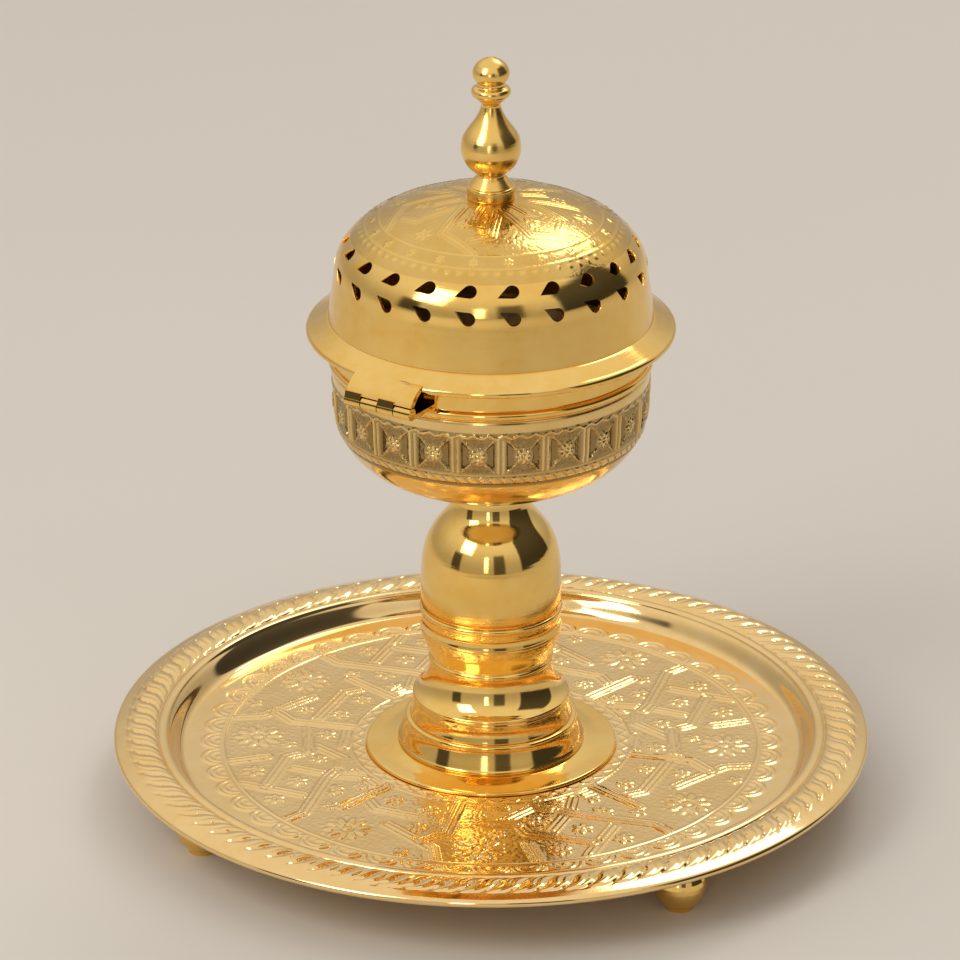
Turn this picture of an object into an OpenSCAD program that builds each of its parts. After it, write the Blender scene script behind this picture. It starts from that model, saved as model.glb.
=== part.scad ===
// Table incense burner: a pierced, hinged lid on a bowl, a turned pedestal and a round tray.
// Millimetres. The origin is on the pedestal's axis, on the surface that the feet stand on. +Z is up.
// The hinge is on the -Y side.

/* [Tray] */
// Outside diameter of the tray
tray_d = 250; // [240:1:260]
// Thickness of the tray's sheet
tray_sheet = 1.2; // [1:0.1:1.4]
// Height of the tray floor's upper face
tray_floor_z = 16; // [15.8:0.1:16.4]
// Radius of the flat tray floor
tray_floor_r = 101.5; // [101:0.1:102]
// Height of the rim above the tray floor
rim_rise = 7.6; // [7:0.1:8]

/* [Feet] */
// Largest diameter of a foot
foot_d = 17; // [16:0.5:18]
// Distance of each foot from the pedestal's axis
foot_reach = 105; // [103:0.5:107]
// Turn of the right-hand foot about the pedestal's axis
foot_turn = -22; // [-30:1:-15]
// Turn of the front foot, which is set a little off the quarter
foot_front_turn = -120; // [-125:1:-110]

/* [Pedestal] */
// Radius of the polished flange that lies on the tray
flange_foot_r = 41.5; // [40:0.1:43]
// Radius of the heavy ring above it
base_ring_r = 30.9; // [30:0.1:31.5]
// Radius of the thin ring on the bell
bell_r = 26; // [25.5:0.1:27]
// Radius of the waist
waist_r = 20.1; // [19.5:0.1:20.8]
// Largest radius of the bulb
bulb_r = 23.1; // [22.5:0.1:23.5]
// Radius of the bulb's neck under the bowl
neck_r = 12.4; // [12:0.1:13]
// Diameter of the tie rod
rod_d = 6; // [5:0.5:6]

/* [Bowl] */
// Largest radius of the bowl's round part
bowl_r = 50.8; // [50:0.1:51]
// Height of the bowl's lowest face
bowl_z = 111.2; // [110.5:0.1:112]
// Height of the bowl's widest place
bowl_wide_z = 142.1; // [141:0.1:143]
// Thickness of the bowl's wall
bowl_wall = 1.5; // [1.2:0.1:1.8]
// Roundness of the bowl's side: 2 is an ellipse
bowl_power = 2.55; // [2.4:0.01:2.7]

/* [Lid] */
// Radius of the lid's flange
lid_r = 59.4; // [59:0.1:60]
// Height of the flange's lowest face
lid_z = 162.9; // [162.8:0.1:163.2]
// Radius of the dome at the flange
dome_foot_r = 52.3; // [52:0.1:52.5]
// Radius of the dome where it starts to close
dome_r = 50.2; // [50:0.1:50.5]
// Height at which the dome starts to close
dome_turn_z = 183.9; // [183:0.1:184.5]
// Rise of the dome above that height
dome_rise = 24.7; // [24.5:0.1:25.5]
// Thickness of the dome's wall
dome_wall = 1.2; // [1:0.1:1.5]
// Number of holes in each row
hole_count = 22; // [18:1:24]
// Radius of the round end of a hole
hole_r = 2.1; // [1.9:0.05:2.2]
// Length of a hole from its round end's centre to its point
hole_tail = 5; // [4.5:0.1:5.6]
// Turn of the rows of holes about the pedestal's axis
hole_turn = 0.5; // [0:0.1:16]

/* [Hinge] */
// Distance of the hinge's axis from the pedestal's axis
hinge_y = 63.4; // [63:0.1:64]
// Height of the hinge's axis
hinge_z = 158.1; // [157.8:0.1:158.4]
// Outside radius of the knuckles
knuckle_r = 1.95; // [1.8:0.05:2]
// Length of one knuckle
knuckle_w = 5.9; // [5.5:0.1:6]
// Radius of the hinge pin
pin_r = 0.9; // [0.8:0.05:1]

/* [Finial] */
// Largest radius of the finial's bulb
finial_bulb_r = 9.6; // [9:0.1:10]
// Height of the finial bulb's centre
finial_bulb_z = 225; // [224.5:0.1:225.5]
// Height of the finial's top
top_z = 254.9; // [254.2:0.1:255.6]

/* [Hidden] */
$fn = 96;

polished = "goldenrod";
engraved = "khaki";
plain = "darkkhaki";
steel = "silver";
arc_steps = 10;
gap = 0.3;
slack = 0.05;

tray_r = tray_d / 2;
rim_z = tray_floor_z + rim_rise;
tray_under_z = tray_floor_z - tray_sheet;

rod_r = rod_d / 2;
rod_bore_r = rod_r + slack;
washer_h = 1.2;
washer_r = 8;
nut_h = 5;
nut_r = 5.8;
rod_spare = 1.5;
rod_low_z = tray_under_z - washer_h - nut_h - rod_spare;

foot_ring_z = tray_floor_z + 2.3;
ring_top_z = 27.4;
bell_top_z = 47.3;
barrel_top_z = 59.2;
collar_top_z = 67;
hollow_r = 11;

bowl_seat_z = bowl_z + bowl_wall;
bowl_edge_z = 151.8;
bowl_edge_r = 51.4;
collar_r = 51;
collar_bore_r = 49.2;
ledge_r = 46.6;
ledge_z = 153.6;
collar_z = lid_z - gap;
bead_z = 153.8;
bead_r = 1.4;
rod_high_z = bowl_seat_z + washer_h + nut_h + rod_spare;

pan_wall = 1.2;
pan_floor_z = 124;
pan_floor_r = 33;
pan_lip_r = 48.9;

flange_top_z = 168.8;
roll_r = 1.25;
roll_z = lid_z + roll_r;
hinge_cut_y = 57.5;

lower_row_z = 185.8;
upper_row_z = 193.4;
lower_tilt = 5;
upper_tilt = 38;
lower_lean = 62;
upper_lean = 111;
upper_row_r = 46;
dome_power = 2.04;
dome_top_z = dome_turn_z + dome_rise;

ferrule_z = dome_top_z - 0.25;
ferrule_top_z = 212.4;
ferrule_r = 7.7;
stud_r = 2.5;
stud_bore_r = stud_r + slack;
stud_low_z = 200.4;
stud_high_z = 222;
dome_in_z = dome_top_z - dome_wall;
small_nut_h = 3;
small_nut_r = 4.6;
small_washer_r = 6;
small_washer_h = 1;

knuckle_pitch = knuckle_w + gap;
hinge_w = 4 * knuckle_w + 3 * gap;
knuckle_bore_r = pin_r + slack;

// Points of an arc or of a part of an ellipse, in the plane of radius and height.
function arc(r, z, a, b, from, to) =
    [for (i = [0 : arc_steps]) let (t = from + (to - from) * i / arc_steps)
        [r + a * cos(t), z + b * sin(t)]];

// Points of a curve from p to s, pulled towards q and t.
function bend(p, q, t, s) =
    [for (i = [0 : arc_steps]) let (k = i / arc_steps, m = 1 - k)
        m * m * m * p + 3 * m * m * k * q + 3 * m * k * k * t + k * k * k * s];

// Points of a quarter of a superellipse: from its widest place to its pole.
function quarter(a, b, z, power, way) =
    [for (i = [0 : 3 * arc_steps]) let (t = 90 * i / (3 * arc_steps))
        [a * pow(cos(t), 2 / power), z + way * b * pow(sin(t), 2 / power)]];

// The same quarter, without the points that lie inside the radius from_r.
function quarter_outside(a, b, z, power, way, from_r) =
    [for (p = quarter(a, b, z, power, way)) if (p[0] > from_r) p];

// A list of points with its order turned round.
function back(points) = [for (i = [len(points) - 1 : -1 : 0]) points[i]];

// A turned piece: its outline starts and ends on the bore.
module turned(points) {
    rotate_extrude($fn = 180) polygon(points);
}

// A plain round plate with a bore.
module washer(r, bore, h) {
    difference() {
        cylinder(r = r, h = h);
        translate([0, 0, -1]) cylinder(r = bore, h = h + 2);
    }
}

// A hexagon nut with a bore.
module nut(r, bore, h) {
    difference() {
        cylinder(r = r, h = h, $fn = 6);
        translate([0, 0, -1]) cylinder(r = bore, h = h + 2);
    }
}

// ---- tray ----

// Upper face of the tray from its bore to its rolled edge.
function tray_top() = concat(
    [[rod_bore_r, tray_floor_z], [tray_floor_r, tray_floor_z]],
    bend([tray_floor_r + 0.6, tray_floor_z + 0.1], [104.2, tray_floor_z + 0.8],
         [104.6, rim_z - 3], [106.8, rim_z - 1.2]),
    arc(108.8, rim_z - 0.9, 1.8, 0.9, 180, 10),
    arc(115.8, rim_z - 0.7, 5.1, 1, 165, 15),
    [[121.2, rim_z - 0.5], [tray_r - 1.2, rim_z - 1.3]]);

// Lower face, parallel to the upper one.
function tray_low() = concat(
    [[tray_r - 2.4, rim_z - 2.5], [121, rim_z - 1.8]],
    [[110.8, rim_z - 2], [107.4, rim_z - 2.3]],
    bend([106.6, rim_z - 3], [104.9, rim_z - 4.6], [103.6, tray_floor_z - 0.8],
         [tray_floor_r + 0.4, tray_under_z]),
    [[rod_bore_r, tray_under_z]]);

module tray() {
    color(engraved) turned(concat(
        tray_top(),
        arc(tray_r - 1.3, rim_z - 2.6, 1.3, 1.3, 85, -150),
        tray_low()));
}

// One bun foot with a neck that follows the tray's lower face.
module foot(turn) {
    foot_r = foot_d / 2;
    bun_z = 8.3;
    color(polished) difference() {
        rotate([0, 0, turn]) translate([foot_reach, 0, 0]) turned(concat(
            [[0, 0], [4.6, 0]],
            arc(0, bun_z, foot_r, bun_z, -56, 50),
            [[4.2, 15.6], [4.2, 24], [0, 24]]));
        turned(concat([[0, tray_under_z - slack]],
            [for (p = back(tray_low())) if (p[0] > rod_bore_r) p - [0, slack]],
            [[tray_r, rim_z - 2.5], [tray_r, 40], [0, 40]]));
    }
}

module foot_right() { foot(foot_turn); }
module foot_back() { foot(foot_turn + 90); }
module foot_left() { foot(foot_turn + 180); }
module foot_front() { foot(foot_front_turn); }

// ---- pedestal ----

module pedestal_foot() {
    color(polished) turned(concat(
        [[rod_bore_r, tray_floor_z], [flange_foot_r - 0.5, tray_floor_z]],
        arc(flange_foot_r - 0.7, tray_floor_z + 0.7, 0.7, 0.7, -60, 90),
        [[36, tray_floor_z + 1.6], [base_ring_r, foot_ring_z], [rod_bore_r, foot_ring_z]]));
}

module base_ring() {
    edge_z = foot_ring_z + 0.7;
    top_r = 28.4;
    color(polished) turned(concat(
        [[hollow_r, foot_ring_z], [base_ring_r - 0.4, foot_ring_z]],
        arc(base_ring_r - 0.5, edge_z, 0.5, 0.7, -70, 60),
        bend([base_ring_r - 0.5, edge_z + 1.2], [base_ring_r - 1.1, edge_z + 3.2],
             [top_r + 0.2, ring_top_z - 3], [top_r, ring_top_z - 0.4]),
        [[top_r - 0.4, ring_top_z], [hollow_r, ring_top_z]]));
}

module lower_bell() {
    lip_z = 33.9;
    cove_r = 26.9;
    color(polished) turned(concat(
        [[hollow_r, ring_top_z], [cove_r, ring_top_z]],
        bend([cove_r, ring_top_z + 0.2], [cove_r - 0.5, ring_top_z + 1.8],
             [bell_r - 0.2, lip_z - 2.4], [bell_r - 0.2, lip_z - 0.1]),
        arc(bell_r - 0.9, lip_z + 1, 0.9, 0.9, -60, 70),
        bend([bell_r - 0.9, lip_z + 2.1], [waist_r + 1.9, lip_z + 3.8], [waist_r + 0.2, lip_z + 8],
             [waist_r, bell_top_z - 0.2]),
        [[waist_r, bell_top_z], [hollow_r, bell_top_z]]));
}

module waist_barrel() {
    ring_z = bell_top_z + 1;
    color(polished) turned(concat(
        [[hollow_r, bell_top_z], [waist_r + 0.2, bell_top_z]],
        arc(waist_r, ring_z, 0.6, 0.9, -75, 75),
        bend([waist_r, ring_z + 1.1], [waist_r + 0.2, ring_z + 3], [bulb_r - 0.5, barrel_top_z - 4.6],
             [bulb_r + 0.1, barrel_top_z - 0.4]),
        [[bulb_r - 0.2, barrel_top_z], [hollow_r, barrel_top_z]]));
}

module stem_collar() {
    lip_low_z = collar_top_z - 2;
    color(polished) turned(concat(
        [[hollow_r, barrel_top_z], [bulb_r, barrel_top_z]],
        bend([bulb_r + 0.1, barrel_top_z + 0.4], [bulb_r - 0.6, barrel_top_z + 2],
             [bulb_r - 0.5, lip_low_z - 1.6], [bulb_r + 0.1, lip_low_z - 0.2]),
        arc(bulb_r - 0.2, collar_top_z - 1, 0.7, 0.9, -70, 80),
        [[bulb_r - 0.3, collar_top_z], [hollow_r, collar_top_z]]));
}

module stem_bulb() {
    side_z = 75;
    shoulder = [19.4, 93.6];
    neck_z = 106;
    roof_z = 92;
    color(polished) turned(concat(
        [[hollow_r, collar_top_z], [bulb_r - 0.4, collar_top_z]],
        bend([bulb_r - 0.1, collar_top_z + 0.3], [bulb_r, collar_top_z + 2], [bulb_r, side_z - 2],
             [bulb_r, side_z]),
        bend([bulb_r, side_z + 0.5], [bulb_r, side_z + 10], [shoulder[0] + 2.2, shoulder[1] - 3.6],
             shoulder),
        bend([shoulder[0] - 0.3, shoulder[1] + 0.5], [shoulder[0] - 3, shoulder[1] + 4.7],
             [neck_r + 0.6, neck_z - 5.4], [neck_r, neck_z]),
        [[neck_r, bowl_z], [rod_bore_r, bowl_z], [rod_bore_r, roof_z + 4], [hollow_r, roof_z]]));
}

module tie_rod() {
    color(steel) translate([0, 0, rod_low_z]) cylinder(r = rod_r, h = rod_high_z - rod_low_z);
}

module tray_washer() {
    color(steel) translate([0, 0, tray_under_z - washer_h]) washer(washer_r, rod_bore_r, washer_h);
}

module tray_nut() {
    color(steel) translate([0, 0, tray_under_z - washer_h - nut_h]) nut(nut_r, rod_bore_r, nut_h);
}

module bowl_washer() {
    color(steel) translate([0, 0, bowl_seat_z]) washer(washer_r, rod_bore_r, washer_h);
}

module bowl_nut() {
    color(steel) translate([0, 0, bowl_seat_z + washer_h]) nut(nut_r, rod_bore_r, nut_h);
}

// ---- bowl ----

module bowl() {
    depth = bowl_wide_z - bowl_z;
    flat_r = 17;
    color(engraved) turned(concat(
        [[rod_bore_r, bowl_z], [flat_r, bowl_z]],
        back(quarter_outside(bowl_r, depth, bowl_wide_z, bowl_power, -1, flat_r + 4)),
        [[bowl_edge_r, bowl_edge_z], [bowl_edge_r - bowl_wall, bowl_edge_z]],
        quarter_outside(bowl_r - bowl_wall, depth - bowl_wall, bowl_wide_z, bowl_power, -1, flat_r + 3),
        [[flat_r, bowl_seat_z], [rod_bore_r, bowl_seat_z]]));
}

module bowl_collar() {
    color(polished) turned(concat(
        [[ledge_r, bowl_edge_z], [collar_r + 0.2, bowl_edge_z]],
        arc(collar_r, bead_z, bead_r, bead_r, -80, 80),
        [[collar_r, bead_z + bead_r + 0.1], [collar_r, collar_z],
         [collar_bore_r, collar_z], [collar_bore_r, ledge_z], [ledge_r, ledge_z]]));
}

module coal_pan() {
    lip_low_r = 45.2;
    color(plain) turned([
        [0, pan_floor_z], [pan_floor_r, pan_floor_z], [lip_low_r, ledge_z],
        [pan_lip_r, ledge_z], [pan_lip_r, ledge_z + pan_wall], [lip_low_r - 0.6, ledge_z + pan_wall],
        [pan_floor_r - 0.6, pan_floor_z + pan_wall], [0, pan_floor_z + pan_wall]]);
}

// ---- hinge ----

// Knuckle number i, counted from -X.
module knuckle(i) {
    translate([-hinge_w / 2 + i * knuckle_pitch, -hinge_y, hinge_z]) rotate([0, 90, 0])
        cylinder(r = knuckle_r, h = knuckle_w, $fn = 48);
}

// Bore for the pin, through every knuckle.
module pin_bore() {
    translate([-hinge_w, -hinge_y, hinge_z]) rotate([0, 90, 0])
        cylinder(r = knuckle_bore_r, h = 2 * hinge_w, $fn = 48);
}

// A plate as wide as the span from x0 to x1, with its outline given as outward reach and height.
module plate(points, x0, x1) {
    translate([x1, 0, 0]) rotate([90, 0, -90]) linear_extrude(x1 - x0) polygon(points);
}

module bowl_hinge_leaf() {
    web_h = 1.3;
    pad_r = 52.3;
    pad_low_z = bead_z + bead_r + 0.2;
    pad_high_z = 160.4;
    reach = hinge_y - knuckle_r - gap;
    low_z = hinge_z - knuckle_r;
    color(polished) difference() {
        union() {
            for (i = [1, 3]) {
                x0 = -hinge_w / 2 + i * knuckle_pitch;
                knuckle(i);
                plate([[reach - 1, low_z], [hinge_y, low_z], [hinge_y, low_z + web_h],
                       [reach - 1, low_z + web_h]], x0, x0 + knuckle_w);
            }
            plate([[collar_r - 1, low_z], [reach, low_z], [reach, low_z + web_h],
                   [collar_r - 1, low_z + web_h]], -hinge_w / 2, hinge_w / 2);
            intersection() {
                turned([[collar_r - 1, pad_low_z], [pad_r, pad_low_z], [pad_r, pad_high_z],
                        [collar_r - 1, pad_high_z]]);
                translate([-hinge_w / 2, -2 * collar_r, 0]) cube([hinge_w, collar_r * 2, pad_high_z]);
            }
        }
        cylinder(r = collar_r + slack, h = 2 * hinge_z, $fn = 180);
        pin_bore();
    }
}

module lid_hinge_leaf() {
    tip_z = hinge_z + knuckle_r;
    color(polished) difference() {
        union() {
            for (i = [0, 2]) {
                x0 = -hinge_w / 2 + i * knuckle_pitch;
                knuckle(i);
                plate([[hinge_y - 1.6, hinge_z + 0.4], [hinge_y + knuckle_r, hinge_z + 0.2],
                       [hinge_y + 0.9, tip_z + 1.2], [hinge_y - 0.8, tip_z + 1.2]], x0, x0 + knuckle_w);
            }
            plate(concat(
                [[hinge_cut_y + slack, 164.4], [60, 162.9], [hinge_y - 1.1, tip_z + gap]],
                [[hinge_y + 0.7, tip_z + gap]],
                bend([hinge_y + 0.7, tip_z + 0.7], [hinge_y - 0.4, tip_z + 2.6],
                     [hinge_y - 2, 164.4], [59.4, 165.2]),
                [[hinge_cut_y + slack, 165.9]]), -hinge_w / 2, hinge_w / 2);
        }
        pin_bore();
    }
}

module hinge_pin() {
    spare = 0.6;
    color(polished) translate([-hinge_w / 2 - spare, -hinge_y, hinge_z]) rotate([0, 90, 0])
        cylinder(r = pin_r, h = hinge_w + 2 * spare, $fn = 48);
}

// ---- lid ----

module lid_flange() {
    seat_r = 49.6;
    color(polished) difference() {
        turned(concat(
            [[seat_r, lid_z], [dome_foot_r - 0.3, lid_z], [dome_foot_r - 0.1, flange_top_z - 2.2],
             [lid_r - roll_r - 1, roll_z - 0.3]],
            arc(lid_r - roll_r, roll_z, roll_r, roll_r, -150, 80),
            [[dome_foot_r + 0.1, flange_top_z], [seat_r, flange_top_z]]));
        translate([-hinge_w / 2 - slack, -2 * lid_r, 0])
            cube([hinge_w + 2 * slack, 2 * lid_r - hinge_cut_y, 2 * lid_z]);
    }
}

// One drop-shaped cutter, through the wall at a height, a radius and a tilt.
module drop(r, z, tilt, turn, lean) {
    reach = 8;
    rotate([0, 0, turn]) translate([r, 0, z]) rotate([0, -tilt, 0]) rotate([0, 90, 0]) rotate([0, 0, lean]) {
        translate([0, 0, -reach / 2]) cylinder(r = hole_r, h = reach, $fn = 32);
        translate([0, 0, -reach / 2]) linear_extrude(reach) polygon([
            [-hole_tail, 0],
            [-hole_r * hole_r / hole_tail, hole_r * sqrt(1 - pow(hole_r / hole_tail, 2))],
            [-hole_r * hole_r / hole_tail, -hole_r * sqrt(1 - pow(hole_r / hole_tail, 2))]]);
    }
}

module lid_dome() {
    step = 360 / hole_count;
    color(engraved) difference() {
        turned(concat(
            [[dome_foot_r - dome_wall, flange_top_z], [dome_foot_r, flange_top_z]],
            quarter_outside(dome_r, dome_rise, dome_turn_z, dome_power, 1, stud_bore_r + 0.5),
            [[stud_bore_r, dome_top_z], [stud_bore_r, dome_in_z]],
            back(quarter_outside(dome_r - dome_wall, dome_rise - dome_wall, dome_turn_z,
                                 dome_power, 1, stud_bore_r + 0.5))));
        for (i = [0 : hole_count - 1]) {
            drop(dome_r - 0.6, lower_row_z, lower_tilt, hole_turn + i * step, lower_lean);
            drop(upper_row_r, upper_row_z, upper_tilt, hole_turn + i * step, upper_lean);
        }
    }
}

// ---- finial ----

module finial_ferrule() {
    color(polished) turned([
        [stud_bore_r, dome_top_z], [stud_bore_r + 0.5, dome_top_z], [ferrule_r - 0.2, ferrule_z],
        [ferrule_r, ferrule_z + 0.3], [ferrule_r, ferrule_top_z - 0.4], [ferrule_r - 0.4, ferrule_top_z],
        [stud_bore_r, ferrule_top_z]]);
}

module finial() {
    ball_r = 5.9;
    ball_h = 4.6;
    ball_z = top_z - 5.3;
    ring_z = 243.5;
    waist_z = 216.2;
    waist_r = 4.5;
    color(polished) turned(concat(
        [[stud_bore_r, ferrule_top_z], [ferrule_r - 0.4, ferrule_top_z],
         [waist_r, waist_z - 0.4], [waist_r, waist_z]],
        arc(0, finial_bulb_z, finial_bulb_r, finial_bulb_r, -61, 12),
        bend([9.1, 228.2], [7.9, 231.6], [4.2, 234], [3.1, 239]),
        bend([3.2, 239.4], [3.6, 240.6], [4.6, 240.8], [4.8, 241.4]),
        arc(5, ring_z, 1.3, 1.6, -70, 80),
        [[4.6, ring_z + 1.8], [4.4, ring_z + 2.3]],
        arc(0, ball_z, ball_r, ball_h, -42, 30),
        bend([ball_r * cos(30) - 0.1, ball_z + 2.5], [4.2, top_z - 1.4], [1.7, top_z - 0.2], [0, top_z]),
        [[0, stud_high_z], [stud_bore_r, stud_high_z]]));
}

module finial_stud() {
    color(steel) translate([0, 0, stud_low_z]) cylinder(r = stud_r, h = stud_high_z - gap - stud_low_z);
}

module finial_washer() {
    color(steel) translate([0, 0, dome_in_z - small_washer_h - gap])
        washer(small_washer_r, stud_bore_r, small_washer_h);
}

module finial_nut() {
    color(steel) translate([0, 0, dome_in_z - small_washer_h - gap - small_nut_h])
        nut(small_nut_r, stud_bore_r, small_nut_h);
}

tray();
foot_right();
foot_back();
foot_left();
foot_front();
pedestal_foot();
base_ring();
lower_bell();
waist_barrel();
stem_collar();
stem_bulb();
tie_rod();
tray_washer();
tray_nut();
bowl_washer();
bowl_nut();
bowl();
bowl_collar();
coal_pan();
bowl_hinge_leaf();
hinge_pin();
lid_flange();
lid_dome();
lid_hinge_leaf();
finial();
finial_ferrule();
finial_stud();
finial_washer();
finial_nut();
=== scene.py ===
"""Looks of a table incense burner: a pierced, hinged lid on a bowl, a turned pedestal and a round tray.

Relief is worked out in millimetres, and meshes are made in metres, in the frame's own axes.
"""

import math

import bpy
import numpy as np
from mathutils import Matrix, Vector


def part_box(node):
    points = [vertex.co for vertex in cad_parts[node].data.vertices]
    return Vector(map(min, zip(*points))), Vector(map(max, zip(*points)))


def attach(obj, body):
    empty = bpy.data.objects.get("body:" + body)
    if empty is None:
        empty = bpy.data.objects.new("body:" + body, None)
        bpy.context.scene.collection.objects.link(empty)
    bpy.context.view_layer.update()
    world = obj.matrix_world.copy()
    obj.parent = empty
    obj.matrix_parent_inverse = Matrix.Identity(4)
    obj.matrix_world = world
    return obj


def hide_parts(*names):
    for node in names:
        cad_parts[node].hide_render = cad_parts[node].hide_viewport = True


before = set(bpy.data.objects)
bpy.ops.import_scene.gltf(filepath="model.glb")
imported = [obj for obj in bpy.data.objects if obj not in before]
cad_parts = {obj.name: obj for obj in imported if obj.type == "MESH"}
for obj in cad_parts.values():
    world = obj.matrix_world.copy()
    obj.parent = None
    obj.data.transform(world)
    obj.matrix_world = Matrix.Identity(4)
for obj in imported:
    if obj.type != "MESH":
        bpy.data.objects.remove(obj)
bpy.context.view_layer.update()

MM = 0.001
CORNER = math.radians(26)
EDGE_RADIUS = 0.25
VIEW_AZIMUTH = math.radians(33.2)


# ---- camera ----

def add_camera():
    """The camera stands high, in front of the hinge's right-hand side, and looks down on the tray."""
    distance, height, pitch = 1.4925, 0.7527, 0.40637
    data = bpy.data.cameras.new("camera")
    data.lens = 187.5
    data.sensor_width = 36
    data.shift_x = -11 / 960
    data.clip_end = 50
    camera = bpy.data.objects.new("camera", data)
    camera.location = (distance * math.sin(VIEW_AZIMUTH), -distance * math.cos(VIEW_AZIMUTH), height)
    camera.rotation_euler = (math.pi / 2 - pitch, 0, VIEW_AZIMUTH)
    bpy.context.scene.collection.objects.link(camera)
    bpy.context.scene.camera = camera


add_camera()


# ---- outlines of the turned CAD nodes ----

def clusters(values, tolerance=3e-6):
    """A number for each value: values that agree within the tolerance share one."""
    order = np.argsort(values)
    numbers = np.empty(len(values), int)
    numbers[order] = np.concatenate([[0], np.cumsum(np.diff(values[order]) > tolerance)])
    return numbers


def outline(node, centre=(0, 0), least=36, keep=None):
    """The outline of a turned CAD node, in millimetres: its rings of vertices as radius and height, in order."""
    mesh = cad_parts[node].data
    co = np.array([v.co for v in mesh.vertices], float)
    radius = np.hypot(co[:, 0] - centre[0], co[:, 1] - centre[1])
    rings = clusters(radius) * 100000 + clusters(co[:, 2])
    usable = np.ones(len(co), bool) if keep is None else keep(co)
    points = {}
    for ring in np.unique(rings):
        members = (rings == ring) & usable
        turns = np.unique(np.round(np.arctan2(co[members, 1], co[members, 0]), 4))
        if len(turns) >= least:
            points[ring] = (radius[members].mean() / MM, co[members, 2].mean() / MM)
    links = {ring: {} for ring in points}
    for edge in mesh.edges:
        i, j = edge.vertices
        a, b = rings[i], rings[j]
        if a != b and a in points and b in points and usable[i] and usable[j]:
            links[a][b] = links[a].get(b, 0) + 1
            links[b][a] = links[b].get(a, 0) + 1
    links = {a: sorted(near, key=near.get)[-2:] for a, near in links.items()}
    ends = [a for a, near in links.items() if len(near) == 1]
    start = min(ends or points, key=lambda a: points[a][::-1])
    path, seen = [start], {start}
    while True:
        ahead = [b for b in links[path[-1]] if b not in seen]
        if not ahead:
            break
        path.append(max(ahead, key=lambda b: points[b][0]) if len(path) == 1 else ahead[0])
        seen.add(path[-1])
    shape = np.array([points[a] for a in path])
    if ends:
        shape = np.vstack([[0, shape[0, 1]], shape, [0, shape[-1, 1]]])
    return shape, not ends

def trim(points, closed):
    """The outline with each sharp corner cut back, so that the finer outline is rounded there."""
    count = len(points)
    out = []
    for i, here in enumerate(points):
        inner = closed or 0 < i < count - 1
        before, after = points[i - 1] - here, points[(i + 1) % count] - here
        if inner and turn_between(-before, after) > CORNER:
            for side in (before, after):
                reach = np.hypot(*side)
                out.append(here + side / reach * min(EDGE_RADIUS, 0.3 * reach))
        else:
            out.append(here)
    return np.array(out)


def turn_between(a, b):
    """The angle from direction a to direction b, without its sign."""
    return abs(math.atan2(a[0] * b[1] - a[1] * b[0], a[0] * b[0] + a[1] * b[1]))


def refine(points, closed, pitch):
    """A finer outline through the same points. It is curved where they turn a little, and straight between corners."""
    count = len(points)
    legs = [points[(i + 1) % count] - points[i] for i in range(count)]
    starts, stops = [None] * count, [None] * count
    for i in range(count):
        before, after = legs[i - 1], legs[i]
        inner = closed or 0 < i < count - 1
        if inner and turn_between(before, after) < 2.2 * CORNER:
            blend = before * np.hypot(*before) + after * np.hypot(*after)
            stops[i - 1] = starts[i] = blend / np.hypot(*blend)
        else:
            stops[i - 1] = before / max(np.hypot(*before), 1e-9)
            starts[i] = after / max(np.hypot(*after), 1e-9)
    fine = []
    for i in range(count if closed else count - 1):
        a, b = points[i], points[(i + 1) % count]
        length = np.hypot(*(b - a))
        steps = max(1, math.ceil(length / pitch((a + b) / 2)))
        for k in range(steps):
            t = k / steps
            fine.append(a * (2 * t**3 - 3 * t**2 + 1) + b * (3 * t**2 - 2 * t**3)
                        + starts[i] * length * (t**3 - 2 * t**2 + t) + stops[i] * length * (t**3 - t**2))
    if not closed:
        fine.append(points[-1])
    return np.array(fine)


# ---- meshes ----

def add_piece(name, vertices, faces, body, material, nodes):
    """A smooth-shaded piece with sharp corners, which rides on a body and stands for its CAD nodes."""
    mesh = bpy.data.meshes.new(name)
    mesh.from_pydata(vertices, [], faces)
    mesh.validate()
    mesh.shade_smooth()
    mesh.set_sharp_from_angle(angle=math.radians(50))
    mesh.materials.append(material)
    piece = bpy.data.objects.new(name, mesh)
    bpy.context.scene.collection.objects.link(piece)
    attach(piece, body)
    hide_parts(*nodes)
    return piece


def lathe(points, closed, turns, relief=None):
    """Vertices in metres and faces of an outline turned about the Z axis. relief(r, z, up, angle) raises its surface."""
    nearby = np.roll(points, -1, 0) - np.roll(points, 1, 0)
    if not closed:
        nearby[0], nearby[-1] = (1, 0), (-1, 0)
    normal = np.stack([nearby[:, 1], -nearby[:, 0]], 1)
    normal /= np.maximum(np.hypot(normal[:, 0], normal[:, 1]), 1e-9)[:, None]
    angle = np.arange(turns) * 2 * math.pi / turns
    r, z = points[:, :1], points[:, 1:]
    raised = relief(r, z, normal[:, 1:], angle[None, :]) if relief else np.zeros((len(points), turns))
    radius = r + normal[:, :1] * raised
    height = z + normal[:, 1:] * raised
    co = np.stack([radius * np.cos(angle), radius * np.sin(angle), height], 2) * MM
    poles = [i for i in range(len(points)) if points[i, 0] < 1e-6]
    index = np.arange(len(points) * turns).reshape(len(points), turns)
    for i in poles:
        index[i] = index[i, 0]
    faces = []
    for i in range(len(points) if closed else len(points) - 1):
        a, b = index[i], index[(i + 1) % len(points)]
        rows = np.stack([a, np.roll(a, -1), np.roll(b, -1), b], 1)
        if i in poles:
            rows = rows[:, [0, 2, 3]]
        elif (i + 1) % len(points) in poles:
            rows = rows[:, [0, 1, 2]]
        faces.extend(rows.tolist())
    used = np.unique(np.concatenate([np.ravel(f) for f in faces]))
    compact = np.zeros(index.size, int)
    compact[used] = np.arange(len(used))
    return co.reshape(-1, 3)[used], [compact[f].tolist() for f in faces]


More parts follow.
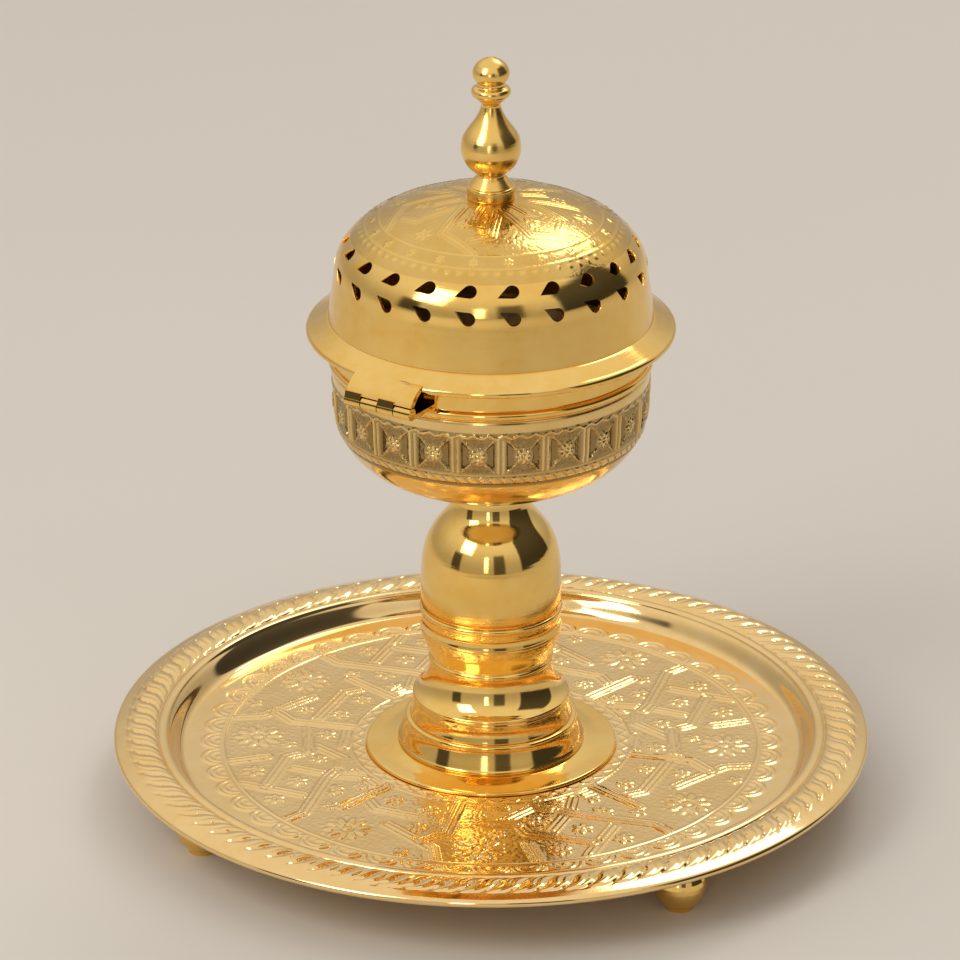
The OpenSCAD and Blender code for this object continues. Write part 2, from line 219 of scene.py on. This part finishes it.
def even(step):
    """A pitch that is the same all along the outline."""
    return lambda middle: step


# ---- relief: lines and motifs, in millimetres ----

def ease(t):
    """A smooth step from 0 to 1."""
    t = np.clip(t, 0, 1)
    return t * t * (3 - 2 * t)


def line(distance, width):
    """A rounded line: 1 along it, and 0 beyond its width."""
    return ease(1 - np.abs(distance) / width)


def to_segments(x, y, path):
    """The distance of each point from a path of straight stretches."""
    best = np.full(np.broadcast(x, y).shape, 1e9)
    for (ax, ay), (bx, by) in zip(path, path[1:]):
        dx, dy = bx - ax, by - ay
        t = np.clip(((x - ax) * dx + (y - ay) * dy) / (dx * dx + dy * dy), 0, 1)
        best = np.minimum(best, np.hypot(x - ax - t * dx, y - ay - t * dy))
    return best


def polar(degrees, radius):
    """A point of the pattern: its angle is counted from the photo's right-hand side, seen from above."""
    turn = math.radians(degrees) + VIEW_AZIMUTH
    return radius * math.cos(turn), radius * math.sin(turn)


def lay_strap(height, distance, width, rise):
    """Lays a flat strap, with a groove along each edge, over what is there."""
    half = width / 2
    clear = ease((half + 0.9 - distance) / 0.7)
    inside = ease((half + 0.15 - distance) / 0.7)
    groove = line(distance - 0.45 * half, 0.75)
    return height * (1 - clear) + inside * rise * (1 - 0.9 * groove)


def lay_rosette(height, x, y, centre, size, petals, rise):
    """Lays a flower: petals round a bead, and a leaf point between each two petals."""
    dx, dy = x - centre[0], y - centre[1]
    out = np.hypot(dx, dy) / size
    turn = np.arctan2(dy, dx) * petals / 2
    edge = 0.42 + 0.5 * np.abs(np.cos(turn))
    petal = ease((edge - out) / 0.14) * (1 - 0.75 * line(np.cos(turn), 0.32)) * ease((out - 0.2) / 0.12)
    vein = line(np.sin(turn), 0.3) * ease((0.8 - out) / 0.2) * ease((out - 0.35) / 0.1)
    tips = line(out - 0.93, 0.1) * line(np.cos(turn), 0.45)
    bead = ease((0.22 - out) / 0.1)
    inside = ease((1.08 - out) / 0.08)
    return height * (1 - inside) + inside * rise * (petal - 0.45 * vein + 0.8 * tips + 1.1 * bead)


def chasing(x, y, scale):
    """Small curled strokes that fill the ground between the motifs."""
    a, b = x / scale, y / scale
    curl = np.sin(a + 1.9 * np.sin(0.7 * b + 0.4)) * np.sin(b + 1.7 * np.sin(0.8 * a + 1.1))
    fine = np.sin(2.3 * a + 1.3 * b) * np.sin(2.1 * b - 1.7 * a)
    return 0.65 * curl + 0.35 * fine


# ---- relief of the tray ----

# One quarter of the tray's strapwork: the stretches of each strap as (degrees, radius). Later straps lie on top.
TRAY_STRAPS = [
    [(45, 50), (27, 50)],
    [(5, 49), (-10, 48)],
    [(27, 56), (15, 50.5), (2, 60)],
    [(-12, 87.5), (-14, 79), (-29, 69)],
    [(21, 87.5), (33, 73)],
    [(17, 68), (27, 57), (33, 50)],
    [(41, 87.5), (41, 80), (27, 60), (24, 56)],
    [(24, 80), (10, 68), (8, 61)],
    [(8, 61), (-11, 62)],
    [(-13, 61), (-37, 62), (-45, 58)],
    [(10, 87.5), (9, 75)],
    [(-12.5, 47), (-12.5, 68), (-17, 75)],
    [(45, 46), (45, 68)],
]
# Its flowers: degrees, radius, size and petals.
TRAY_FLOWERS = [
    (-2.5, 77.5, 9.2, 10), (-36, 78.5, 9, 10), (35, 63, 4.6, 6), (25, 70, 4.3, 6), (16, 81, 4.6, 6),
    (13, 58.5, 3.6, 6), (-20, 85, 3.4, 5), (-21, 67, 3.8, 6), (-5, 55, 3.8, 6), (-22, 55, 4.2, 6),
    (-36, 54, 4, 6), (31, 82, 4.3, 6), (-47.5, 70, 3.6, 5), (38, 53.5, 3.4, 5), (2, 67, 3.2, 5),
]
STRAP_WIDTH = 4.6
FIELD_OUT, FIELD_IN = 87.6, 46.4
SCALLOPS = 48
GADROONS = 92


def tray_field(r, angle):
    """Height of the chased field of the tray's floor, between the two borders."""
    x, y = r * np.cos(angle), r * np.sin(angle)
    height = 0.07 * chasing(x, y, 0.7)
    for quarter in range(4):
        for degrees, radius, size, petals in TRAY_FLOWERS:
            height = lay_rosette(height, x, y, polar(degrees + 90 * quarter, radius), size, petals, 0.36)
    for straps in TRAY_STRAPS:
        for quarter in range(4):
            path = [polar(degrees + 90 * quarter, radius) for degrees, radius in straps]
            height = lay_strap(height, to_segments(x, y, path), STRAP_WIDTH, 0.4)
    return height * ease((FIELD_OUT + 0.4 - r) / 0.8) * ease((r - FIELD_IN) / 0.8)


def tray_borders(r, angle):
    """Scallops and two rings round the field, and a wavy line round the pedestal."""
    step = 2 * math.pi / SCALLOPS
    centre_r = 90.2
    off = (angle - VIEW_AZIMUTH + step / 2) % step - step / 2
    away = np.hypot(r * np.cos(off) - centre_r, r * np.sin(off))
    beyond = ease((r - centre_r) / 0.6)
    scallop = 0.42 * line(away - 5.5, 1.0) + 0.36 * line(away - 3.5, 0.85) + 0.4 * line(away, 1.6)
    wave = r - 44.2 - 0.9 * np.sin(SCALLOPS * (angle - VIEW_AZIMUTH))
    rings = line(r - 89.9, 0.6) + line(r - 88.2, 0.6) + line(r - 46.3, 0.55) + line(r - 42.2, 0.55)
    return scallop * beyond + 0.3 * rings + 0.3 * line(wave, 0.9)


def gadroons(r, angle):
    """Slanting lobes along the tray's rim, with a dimple at the outer end of each gap."""
    inner, outer = 110.7, 120.9
    along = np.clip((r - inner) / (outer - inner), 0, 1)
    slant = 1.5 * along + 0.18 * np.sin(2 * math.pi * along)
    phase = ((angle - VIEW_AZIMUTH) * GADROONS / (2 * math.pi) + slant) % 1
    across = 2 * phase - 1
    lobe = np.sqrt(np.clip(1 - across**2, 0, 1))
    ends = np.sin(math.pi * np.clip(along, 0, 1)) ** 0.45
    crease = 0.3 * line(across - 0.15, 0.24)
    dimple = line(np.hypot(across_gap(across) * 3, r - 119.3), 0.9)
    return np.where((r > inner) & (r < outer), (0.95 * lobe - 0.55 - crease) * ends - 0.6 * dimple, 0)


def across_gap(across):
    """Distance from the middle of the gap between two lobes, as a share of half their spacing."""
    return 1 - np.abs(across)


def tray_relief(r, z, up, angle):
    """The tray's upper face: field, borders and gadroons. The lower face stays plain."""
    top = up > 0.3
    floor = top & (r < 98)
    rim = top & (r > 110) & (r < 121.5)
    height = np.where(floor, tray_field(r, angle) * (r < 89) + tray_borders(r, angle), 0)
    return height + np.where(rim, gadroons(r, angle), 0)


def tray_pitch(middle):
    """Fine where the tray is chased, coarse elsewhere."""
    r, z = middle
    if z < 15.9 or r < 41.5:
        return 60
    return 0.5 if r < 97 else 3 if r < 101 else 0.6


def tray_outline():
    """The CAD outline, with points added where the chased floor starts and stops."""
    points, closed = outline("tray")
    points = trim(points, closed)
    floor_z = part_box("pedestal_foot")[0].z / MM
    after = next(i for i in range(len(points))
                 if abs(points[i, 1] - floor_z) < 0.05 and points[i, 0] > 90 and points[i - 1, 0] > points[i, 0])
    stops = np.array([[r, floor_z] for r in (97.2, 41.4)])
    return np.vstack([points[:after + 1], stops, points[after + 1:]]), closed


# ---- relief of the bowl ----

PANELS = 22
PANEL_TURN = math.radians(3.5 - 90) + VIEW_AZIMUTH
BAND_LOW, BAND_HIGH = 129.4, 147.6


def bowl_relief(r, z, up, angle):
    """Panels with a crossed flower each, between a rope below and a wavy line above."""
    panel = ((angle - PANEL_TURN) * PANELS / (2 * math.pi)) % 1
    u = 2 * panel - 1
    half = math.pi * 50.8 / PANELS
    v = (z - 140) / 6
    x, y = u * half, z - 140
    bar = line((1 - np.abs(u)) * half - 0.85, 0.6)
    plate = ease((half - 1.8 - np.abs(x)) / 0.5) * ease((6.1 - np.abs(y)) / 0.5)
    cross = line((np.abs(x) / (half - 1.6) - np.abs(v)) * 5, 0.8)
    side = ease((np.abs(x) / (half - 1.6) - np.abs(v)) * 5)
    facet = -0.75 * side * ease((np.abs(x) - 1.5) / 4)
    ground = 0.2 * chasing(x + 37 * np.floor((angle - PANEL_TURN) * PANELS / (2 * math.pi)), y, 0.42) * (1 - side)
    inside = plate * (0.32 * cross + facet + ground - 0.1)
    inside = lay_rosette(inside, x, y, (0, 0), 3.1, 8, 0.5)
    wave = z - 146.8 - 0.45 * np.sin(3 * PANELS * (angle - PANEL_TURN))
    rope_turn = np.abs(((angle - PANEL_TURN) * 4 * PANELS / (2 * math.pi) + (z - 131.4) * 0.3) % 1 - 0.5) * 2
    rope = ease((1.35 - np.abs(z - 131.4)) / 0.6) * (0.5 * np.sqrt(np.clip(1 - rope_turn**2, 0, 1)) - 0.12)
    height = inside + 0.5 * bar * ease((6.3 - np.abs(y)) / 0.5)
    height = height + 0.4 * line(wave, 0.75) + rope + 0.25 * line(z - 133.3, 0.5) - 0.3 * line(z - 129.6, 0.6)
    outside = (r > 46) & (z > BAND_LOW - 1) & (z < BAND_HIGH + 0.6)
    return np.where(outside & (up < 0.6) & (r > bowl_inner(z)), height, 0)


def bowl_inner(z):
    """A radius inside the bowl's wall at a height, to tell its outer face from its inner one."""
    return 50.1 - 0.0176 * np.clip(141 - z, 0, 30) ** 2


def bowl_pitch(middle):
    """Fine over the chased band on the outside, coarse elsewhere."""
    r, z = middle
    chased = BAND_LOW - 1 < z < BAND_HIGH + 0.6 and r > bowl_inner(z)
    return 0.42 if chased else 1.6


# ---- dome ----

DOME_FOOT_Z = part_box("lid_dome")[0].z / MM
DOME_TOP_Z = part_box("lid_dome")[1].z / MM
DOME_FOOT_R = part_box("lid_dome")[1].x / MM
DOME_R, DOME_TURN_Z, DOME_WALL, DOME_POWER = 50.2, 183.9, 1.2, 2.04
STUD_BORE_R = 2.55
DOME_STRAPS = [
    [(-17, 11.3), (-29.7, 26.8), (-42.7, 29.5)],
    [(-74, 12.2), (-63.4, 28), (-39.3, 35.2)],
    [(-47, 10), (-47, 18)],
]
HOLES, HOLE_TURN, HOLE_R, HOLE_TAIL = 22, 0.5, 2.1, 5.0


def dome_curve(thickness):
    """Points from the dome's turn to its bore, on a face that lies this far inside the outer one."""
    a, b = DOME_R - thickness, DOME_TOP_Z - DOME_TURN_Z - thickness
    points = []
    for i in range(241):
        t = math.pi / 2 * i / 240
        r = a * math.cos(t) ** (2 / DOME_POWER)
        if r > STUD_BORE_R + 0.5:
            points.append([r, DOME_TURN_Z + b * math.sin(t) ** (2 / DOME_POWER)])
    return points


def dome_outline():
    """The dome's outline: up the outside, and down the inside."""
    wall = [[DOME_FOOT_R, DOME_FOOT_Z]]
    wall += [[DOME_FOOT_R + (DOME_R - DOME_FOOT_R) * k / 12, DOME_FOOT_Z + (DOME_TURN_Z - DOME_FOOT_Z) * k / 12]
             for k in range(1, 12)]
    inner = dome_curve(DOME_WALL)[::-1]
    sparse = inner[::8] + [inner[-1]]
    bore = [[STUD_BORE_R, DOME_TOP_Z], [STUD_BORE_R, DOME_TOP_Z - DOME_WALL]]
    outer = []
    for point in dome_curve(0):
        if not outer or math.dist(point, outer[-1]) > (0.46 if point[0] < 44.5 else 0.9):
            outer.append(point)
    return np.array(wall + outer + bore + sparse + [[DOME_FOOT_R - DOME_WALL, DOME_FOOT_Z]])


def dome_relief(r, z, up, angle):
    """A star of straps round the finial, a ring of florets, and a row of small shells."""
    x, y = r * np.cos(angle), r * np.sin(angle)
    height = 0.045 * chasing(x, y, 0.55)
    for sixth in range(6):
        height = lay_rosette(height, x, y, polar(-29 + 60 * sixth, 17.5), 3.4, 6, 0.18)
        height = lay_rosette(height, x, y, polar(-54 + 60 * sixth, 21.5), 3.2, 6, 0.18)
        height = lay_rosette(height, x, y, polar(-14 + 60 * sixth, 30.5), 3.6, 6, 0.18)
    for straps in DOME_STRAPS:
        for sixth in range(6):
            path = [polar(degrees + 60 * sixth, radius) for degrees, radius in straps]
            height = lay_strap(height, to_segments(x, y, path), 3.4, 0.2)
    height = height * ease((35.8 - r) / 0.8) * ease((r - 8.5) / 0.8)
    for k in range(HOLES):
        floret = polar(k * 360 / HOLES, 38.2)
        height = lay_rosette(height, x, y, floret, 1.9, 6, 0.26)
    step = 2 * math.pi / (3 * HOLES)
    off = ((angle - VIEW_AZIMUTH + step / 2) % step - step / 2) * r
    shells = line(np.hypot(off, (r - 41.6) * 1.2), 1.5) - 0.8 * line(np.hypot(off, (r - 41.2) * 1.2), 0.8)
    height = height + 0.2 * (line(r - 35.8, 0.5) + line(r - 40.3, 0.45)) + 0.3 * shells
    return np.where((up > 0.1) & (z > dome_inner(r)), height, 0)


def dome_inner(r):
    """A height inside the dome's wall at a radius, to tell its outer face from its inner one."""
    share = np.clip(r / (DOME_R - DOME_WALL / 2), 0, 1)
    rise = DOME_TOP_Z - DOME_TURN_Z - DOME_WALL / 2
    return DOME_TURN_Z + rise * (1 - share**DOME_POWER) ** (1 / DOME_POWER)


def drop_outline(grow):
    """A drop's outline: a round end at the origin and a point on the -X side, grown outwards."""
    radius = HOLE_R + grow
    tail = HOLE_TAIL * radius / HOLE_R
    tangent = math.acos(-radius / tail)
    arc = [tangent - 2 * tangent * k / 20 for k in range(21)]
    return [(radius * math.cos(t), radius * math.sin(t)) for t in arc] + [(-tail, 0)]


def hole_cutters():
    """One mesh with every drop-shaped cutter of the dome. Each widens at the surface, which leaves a bright rim."""
    levels = [(-4, 0), (0.15, 0), (1.15, 0.5), (4, 0.5)]
    outlines = [[(x, y, height) for x, y in drop_outline(grow)] for height, grow in levels]
    count = len(outlines[0])
    vertices, faces = [], []
    rows = [(DOME_R - 0.6, 185.8, 5, 62), (46, 193.4, 38, 111)]
    for r, z, tilt, lean in rows:
        for k in range(HOLES):
            place = (Matrix.Rotation(math.radians(HOLE_TURN + k * 360 / HOLES), 4, "Z")
                     @ Matrix.Translation((r, 0, z))
                     @ Matrix.Rotation(math.radians(90 - tilt), 4, "Y")
                     @ Matrix.Rotation(math.radians(lean), 4, "Z"))
            first = len(vertices)
            vertices += [place @ Vector(p) * MM for ring in outlines for p in ring]
            for level in range(len(levels) - 1):
                low = first + level * count
                faces += [(low + i, low + i + count, low + (i + 1) % count + count, low + (i + 1) % count)
                          for i in range(count)]
            faces.append(tuple(range(first, first + count)))
            faces.append(tuple(reversed(range(first + (len(levels) - 1) * count, first + len(levels) * count))))
    mesh = bpy.data.meshes.new("cutters")
    mesh.from_pydata(vertices, [], faces)
    return bpy.data.objects.new("cutters", mesh)


def cut(piece, cutter):
    """Takes the cutter's solid out of the piece, and leaves no modifier behind."""
    bpy.context.scene.collection.objects.link(cutter)
    modifier = piece.modifiers.new("cut", "BOOLEAN")
    modifier.operation = "DIFFERENCE"
    modifier.solver = "MANIFOLD"
    modifier.object = cutter
    bpy.context.view_layer.update()
    result = bpy.data.meshes.new_from_object(piece.evaluated_get(bpy.context.evaluated_depsgraph_get()))
    piece.modifiers.clear()
    piece.data = result
    bpy.data.objects.remove(cutter)
    result.shade_smooth()
    result.set_sharp_from_angle(angle=math.radians(50))


# ---- materials ----

class Nodes:
    """A short way to build a material's nodes."""

    def __init__(self, name):
        self.material = bpy.data.materials.new(name)
        self.material.use_nodes = True
        self.tree = self.material.node_tree
        self.shader = self.tree.nodes["Principled BSDF"]

    def add(self, kind, **values):
        node = self.tree.nodes.new(kind)
        for key, value in values.items():
            setattr(node, key, value)
        return node

    def feed(self, socket, value):
        if isinstance(value, bpy.types.NodeSocket):
            self.tree.links.new(value, socket)
        else:
            socket.default_value = value

    def math(self, operation, *values):
        node = self.add("ShaderNodeMath", operation=operation)
        for socket, value in zip(node.inputs, values):
            self.feed(socket, value)
        return node.outputs[0]

    def span(self, value, low, high, to_low, to_high):
        node = self.add("ShaderNodeMapRange", interpolation_type="SMOOTHSTEP")
        for socket, number in zip(node.inputs, (value, low, high, to_low, to_high)):
            self.feed(socket, number)
        return node.outputs[0]

    def noise(self, vector, scale, detail=3, roughness=0.5):
        node = self.add("ShaderNodeTexNoise")
        self.feed(node.inputs["Vector"], vector)
        self.feed(node.inputs["Scale"], scale)
        self.feed(node.inputs["Detail"], detail)
        self.feed(node.inputs["Roughness"], roughness)
        return node.outputs["Fac"]

    def mix(self, factor, first, second):
        node = self.add("ShaderNodeMix", data_type="RGBA")
        self.feed(node.inputs[0], factor)
        self.feed(node.inputs[6], first)
        self.feed(node.inputs[7], second)
        return node.outputs[2]

    def bump(self, height, distance, normal=None):
        node = self.add("ShaderNodeBump")
        self.feed(node.inputs["Height"], height)
        self.feed(node.inputs["Distance"], distance)
        if normal is not None:
            self.feed(node.inputs["Normal"], normal)
        return node.outputs["Normal"]


def metal(name, light, dark, roughness, lines, stipple=None, tarnish=0.0, punch_depth=0.00003):
    """Turned metal. Tool marks run round the Z axis, and a soft film of handling varies its colour and gloss.

    stipple is (low z, high z, inner radius, outer radius) of a chased part, in metres, with fine punch marks.
    """
    n = Nodes(name)
    place = n.add("ShaderNodeTexCoord").outputs["Object"]
    split = n.add("ShaderNodeSeparateXYZ")
    n.feed(split.inputs[0], place)
    x, y, z = split.outputs
    radius = n.math("SQRT", n.math("ADD", n.math("MULTIPLY", x, x), n.math("MULTIPLY", y, y)))
    ring = n.add("ShaderNodeCombineXYZ")
    n.feed(ring.inputs[0], radius)
    n.feed(ring.inputs[1], z)
    tool_marks = n.noise(ring.outputs[0], 1500, 4, 0.65)
    cloud = n.noise(place, 42, 4, 0.6)
    smear = n.noise(place, 240, 3, 0.55)
    film = n.math("ADD", n.math("MULTIPLY", cloud, 0.7), n.math("MULTIPLY", smear, 0.3))
    colour = n.mix(n.span(film, 0.35, 0.68, 0.0, 1.0), (*light, 1), (*dark, 1))
    gloss = n.span(film, 0.3, 0.7, roughness * 0.75, roughness * 1.5)
    normal = n.bump(tool_marks, lines)
    if stipple:
        low, high, inner, outer = stipple
        soft = 0.0006
        inside = n.math("MULTIPLY",
                        n.math("MULTIPLY", n.span(z, low - soft, low, 0.0, 1.0), n.span(z, high, high + soft, 1.0, 0.0)),
                        n.math("MULTIPLY", n.span(radius, inner - soft, inner, 0.0, 1.0),
                               n.span(radius, outer, outer + soft, 1.0, 0.0)))
        punch = n.add("ShaderNodeTexVoronoi", feature="SMOOTH_F1")
        n.feed(punch.inputs["Vector"], place)
        n.feed(punch.inputs["Scale"], 950)
        marks = n.math("MULTIPLY", n.span(punch.outputs["Distance"], 0.1, 0.6, 0.0, 1.0), inside)
        normal = n.bump(marks, punch_depth, normal)
        gloss = n.math("ADD", gloss, n.math("MULTIPLY", inside, 0.05))
        hollow = n.add("ShaderNodeAttribute", attribute_name="hollow")
        film_in = n.math("MULTIPLY", n.math("MULTIPLY", hollow.outputs["Fac"], inside), tarnish)
        colour = n.mix(film_in, colour, (0.11, 0.058, 0.015, 1))
    n.feed(n.shader.inputs["Base Color"], colour)
    n.feed(n.shader.inputs["Metallic"], 1.0)
    n.feed(n.shader.inputs["Roughness"], gloss)
    n.feed(n.shader.inputs["Normal"], normal)
    return n.material


GOLD_LIGHT, GOLD_DARK = (0.95, 0.66, 0.22), (0.91, 0.57, 0.14)
polished = metal("polished_brass", GOLD_LIGHT, GOLD_DARK, 0.07, 0.00001)
brushed = metal("brushed_brass", GOLD_LIGHT, GOLD_DARK, 0.17, 0.00002)
tray_brass = metal("tray_brass", (0.95, 0.70, 0.34), (0.91, 0.63, 0.26), 0.07, 0.000004,
                   stipple=(0.0155, 0.0175, 0.0464, 0.0876), tarnish=0.12, punch_depth=0.000025)
bowl_brass = metal("bowl_brass", (0.90, 0.66, 0.29), (0.82, 0.55, 0.20), 0.12, 0.000012,
                   stipple=(0.1290, 0.1478, 0.040, 0.060), tarnish=0.7, punch_depth=0.00006)
dome_brass = metal("dome_brass", GOLD_LIGHT, GOLD_DARK, 0.09, 0.000016,
                   stipple=(0.1955, 0.2090, 0.0085, 0.0445), tarnish=0.3, punch_depth=0.00002)
plain = metal("plain_brass", (0.62, 0.44, 0.2), (0.36, 0.25, 0.13), 0.3, 0.00003)
steel = metal("plated_steel", (0.63, 0.63, 0.61), (0.5, 0.5, 0.49), 0.28, 0.00002)


# ---- pieces ----

def turned(node, material, body="base", turns=288, step=0.7, closed_outline=None,
           pitch=None, relief=None):
    """A smoother copy of a turned CAD node, from the node's own outline."""
    points, closed = closed_outline or outline(node)
    if closed_outline is None:
        points = trim(points, closed)
    if closed and signed_area(points) < 0:
        points = points[::-1]
    if pitch is not False:
        points = refine(points, closed, pitch or even(step))
    vertices, faces = lathe(points, closed, turns, relief)
    piece = add_piece(node + "_turned", vertices, faces, body, material, [node])
    return piece, points


def signed_area(points):
    """Area of a closed outline: positive if it runs the way that puts its normals outside."""
    r, z = points[:, 0], points[:, 1]
    return 0.5 * float(np.sum(r * np.roll(z, -1) - np.roll(r, -1) * z))


def add_hollows(piece, turns, points, relief, depth):
    """Stores how deep each vertex lies under the highest relief, for the film that stays in the hollows."""
    angle = np.arange(turns) * 2 * math.pi / turns
    flat = np.zeros((len(points), 1))
    height = relief(points[:, :1], points[:, 1:], flat + (0 if relief is bowl_relief else 1), angle[None, :])
    values = np.clip(1 - (height + 0.1) / depth, 0, 1).astype(np.float32).ravel()
    attribute = piece.data.attributes.new("hollow", "FLOAT", "POINT")
    if len(values) == len(piece.data.vertices):
        attribute.data.foreach_set("value", values)


for node in ("pedestal_foot", "base_ring", "lower_bell", "waist_barrel", "stem_collar", "stem_bulb", "bowl_collar"):
    turned(node, polished)
turned("coal_pan", plain)
finial_points, finial_closed = outline("finial")
finial_points[-1, 1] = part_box("finial")[1].z / MM
turned("finial", brushed, body="lid", turns=160, step=0.5,
       closed_outline=(trim(finial_points, finial_closed), finial_closed))
turned("finial_ferrule", brushed, body="lid", turns=160, step=0.5)

tray, tray_points = turned("tray", tray_brass, turns=1104, closed_outline=tray_outline(),
                           pitch=tray_pitch, relief=tray_relief)
add_hollows(tray, 1104, tray_points, tray_relief, 0.35)
bowl, bowl_points = turned("bowl", bowl_brass, turns=880, pitch=bowl_pitch,
                           relief=bowl_relief)
add_hollows(bowl, 880, bowl_points, bowl_relief, 0.45)
dome, dome_points = turned("lid_dome", dome_brass, body="lid", turns=660,
                           closed_outline=(dome_outline(), True), pitch=False, relief=dome_relief)
add_hollows(dome, 660, dome_points, dome_relief, 0.3)
cut(dome, hole_cutters())

flange_shape = outline("lid_flange", least=20, keep=lambda co: co[:, 1] > 0)
flange, _ = turned("lid_flange", polished, body="lid", turns=360,
                   closed_outline=(trim(*flange_shape), True))
notch_mesh = bpy.data.meshes.new("notch")
NOTCH_X, NOTCH_Y = 0.01235, -0.0575
corners = [(x, y, z) for x in (-NOTCH_X, NOTCH_X) for y in (-0.08, NOTCH_Y) for z in (0.15, 0.18)]
notch_mesh.from_pydata(corners, [], [(0, 1, 3, 2), (4, 6, 7, 5), (0, 4, 5, 1), (2, 3, 7, 6), (0, 2, 6, 4), (1, 5, 7, 3)])
cut(flange, bpy.data.objects.new("notch", notch_mesh))

CAD_LOOKS = {
    polished: ["foot_right", "foot_back", "foot_left", "foot_front", "bowl_hinge_leaf", "hinge_pin",
               "lid_hinge_leaf"],
    steel: ["tie_rod", "tray_washer", "tray_nut", "bowl_washer", "bowl_nut", "finial_stud", "finial_washer",
            "finial_nut"],
}
for material, names in CAD_LOOKS.items():
    for name in names:
        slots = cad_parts[name].data.materials
        slots.clear()
        slots.append(material)


# ---- floor, lights and background ----

def add_floor():
    mesh = bpy.data.meshes.new("floor")
    half = 6
    mesh.from_pydata([(-half, -half, 0), (half, -half, 0), (half, half, 0), (-half, half, 0)], [], [(0, 1, 2, 3)])
    n = Nodes("floor")
    place = n.add("ShaderNodeTexCoord").outputs["Object"]
    colour = n.mix(n.noise(place, 3, 2), (0.66, 0.63, 0.59, 1), (0.69, 0.66, 0.62, 1))
    n.feed(n.shader.inputs["Base Color"], colour)
    n.feed(n.shader.inputs["Roughness"], 0.75)
    mesh.materials.append(n.material)
    floor = bpy.data.objects.new("floor", mesh)
    bpy.context.scene.collection.objects.link(floor)


def add_light(name, turn, lift, distance, width, height, power, colour=(1, 0.97, 0.92)):
    """A soft box that looks at the middle of the object. turn is counted from the camera's side."""
    data = bpy.data.lights.new(name, "AREA")
    data.shape = "RECTANGLE"
    data.size, data.size_y = width, height
    data.energy = power
    data.color = colour
    light = bpy.data.objects.new(name, data)
    azimuth, elevation = VIEW_AZIMUTH + math.radians(turn), math.radians(lift)
    target = Vector((0, 0, 0.12))
    away = Vector((math.sin(azimuth) * math.cos(elevation), -math.cos(azimuth) * math.cos(elevation),
                   math.sin(elevation)))
    light.location = target + away * distance
    light.rotation_euler = away.to_track_quat("Z", "Y").to_euler()
    bpy.context.scene.collection.objects.link(light)


def add_world():
    """A pale room that is darker near the ground, with a dark doorway on the right and two narrow dark things."""
    world = bpy.data.worlds.new("room")
    world.use_nodes = True
    n = Nodes.__new__(Nodes)
    n.tree = world.node_tree
    direction = n.add("ShaderNodeTexCoord").outputs["Generated"]
    split = n.add("ShaderNodeSeparateXYZ")
    n.feed(split.inputs[0], direction)
    up = split.outputs[2]
    sine, cosine = math.sin(VIEW_AZIMUTH), math.cos(VIEW_AZIMUTH)
    parts = []
    for axis in ((sine, -cosine, 0), (cosine, sine, 0)):
        dot = n.add("ShaderNodeVectorMath", operation="DOT_PRODUCT")
        n.feed(dot.inputs[0], direction)
        n.feed(dot.inputs[1], axis)
        parts.append(dot.outputs["Value"])
    turn = n.math("ARCTAN2", parts[1], parts[0])
    strength = n.span(up, 0.05, 0.75, 0.55, 1.05)
    for low, high, top, soft, least in ((0.94, 2.0, 0.7, 0.06, 0.1), (0.1, 0.4, 0.45, 0.04, 0.2),
                                        (-1.2, -0.95, 0.35, 0.04, 0.15)):
        inside = n.math("MULTIPLY", n.math("MULTIPLY", n.span(turn, low - soft, low, 0.0, 1.0),
                                           n.span(turn, high, high + soft, 1.0, 0.0)),
                        n.span(up, top, top + 0.1, 1.0, 0.0))
        strength = n.math("MULTIPLY", strength, n.math("SUBTRACT", 1.0, n.math("MULTIPLY", inside, 1 - least)))
    shade = n.tree.nodes["Background"]
    n.feed(shade.inputs["Color"], (1.0, 0.93, 0.84, 1))
    n.feed(shade.inputs["Strength"], n.math("MULTIPLY", strength, 0.82))
    bpy.context.scene.world = world


add_floor()
add_world()
add_light("key", -48, 40, 1.6, 0.6, 0.8, 7)
add_light("strip", -8, 14, 1.5, 0.16, 0.6, 0.9)
add_light("side", 150, 50, 1.6, 0.5, 0.6, 3)
bpy.context.scene.view_settings.view_transform = "Standard"

bpy.context.view_layer.update()
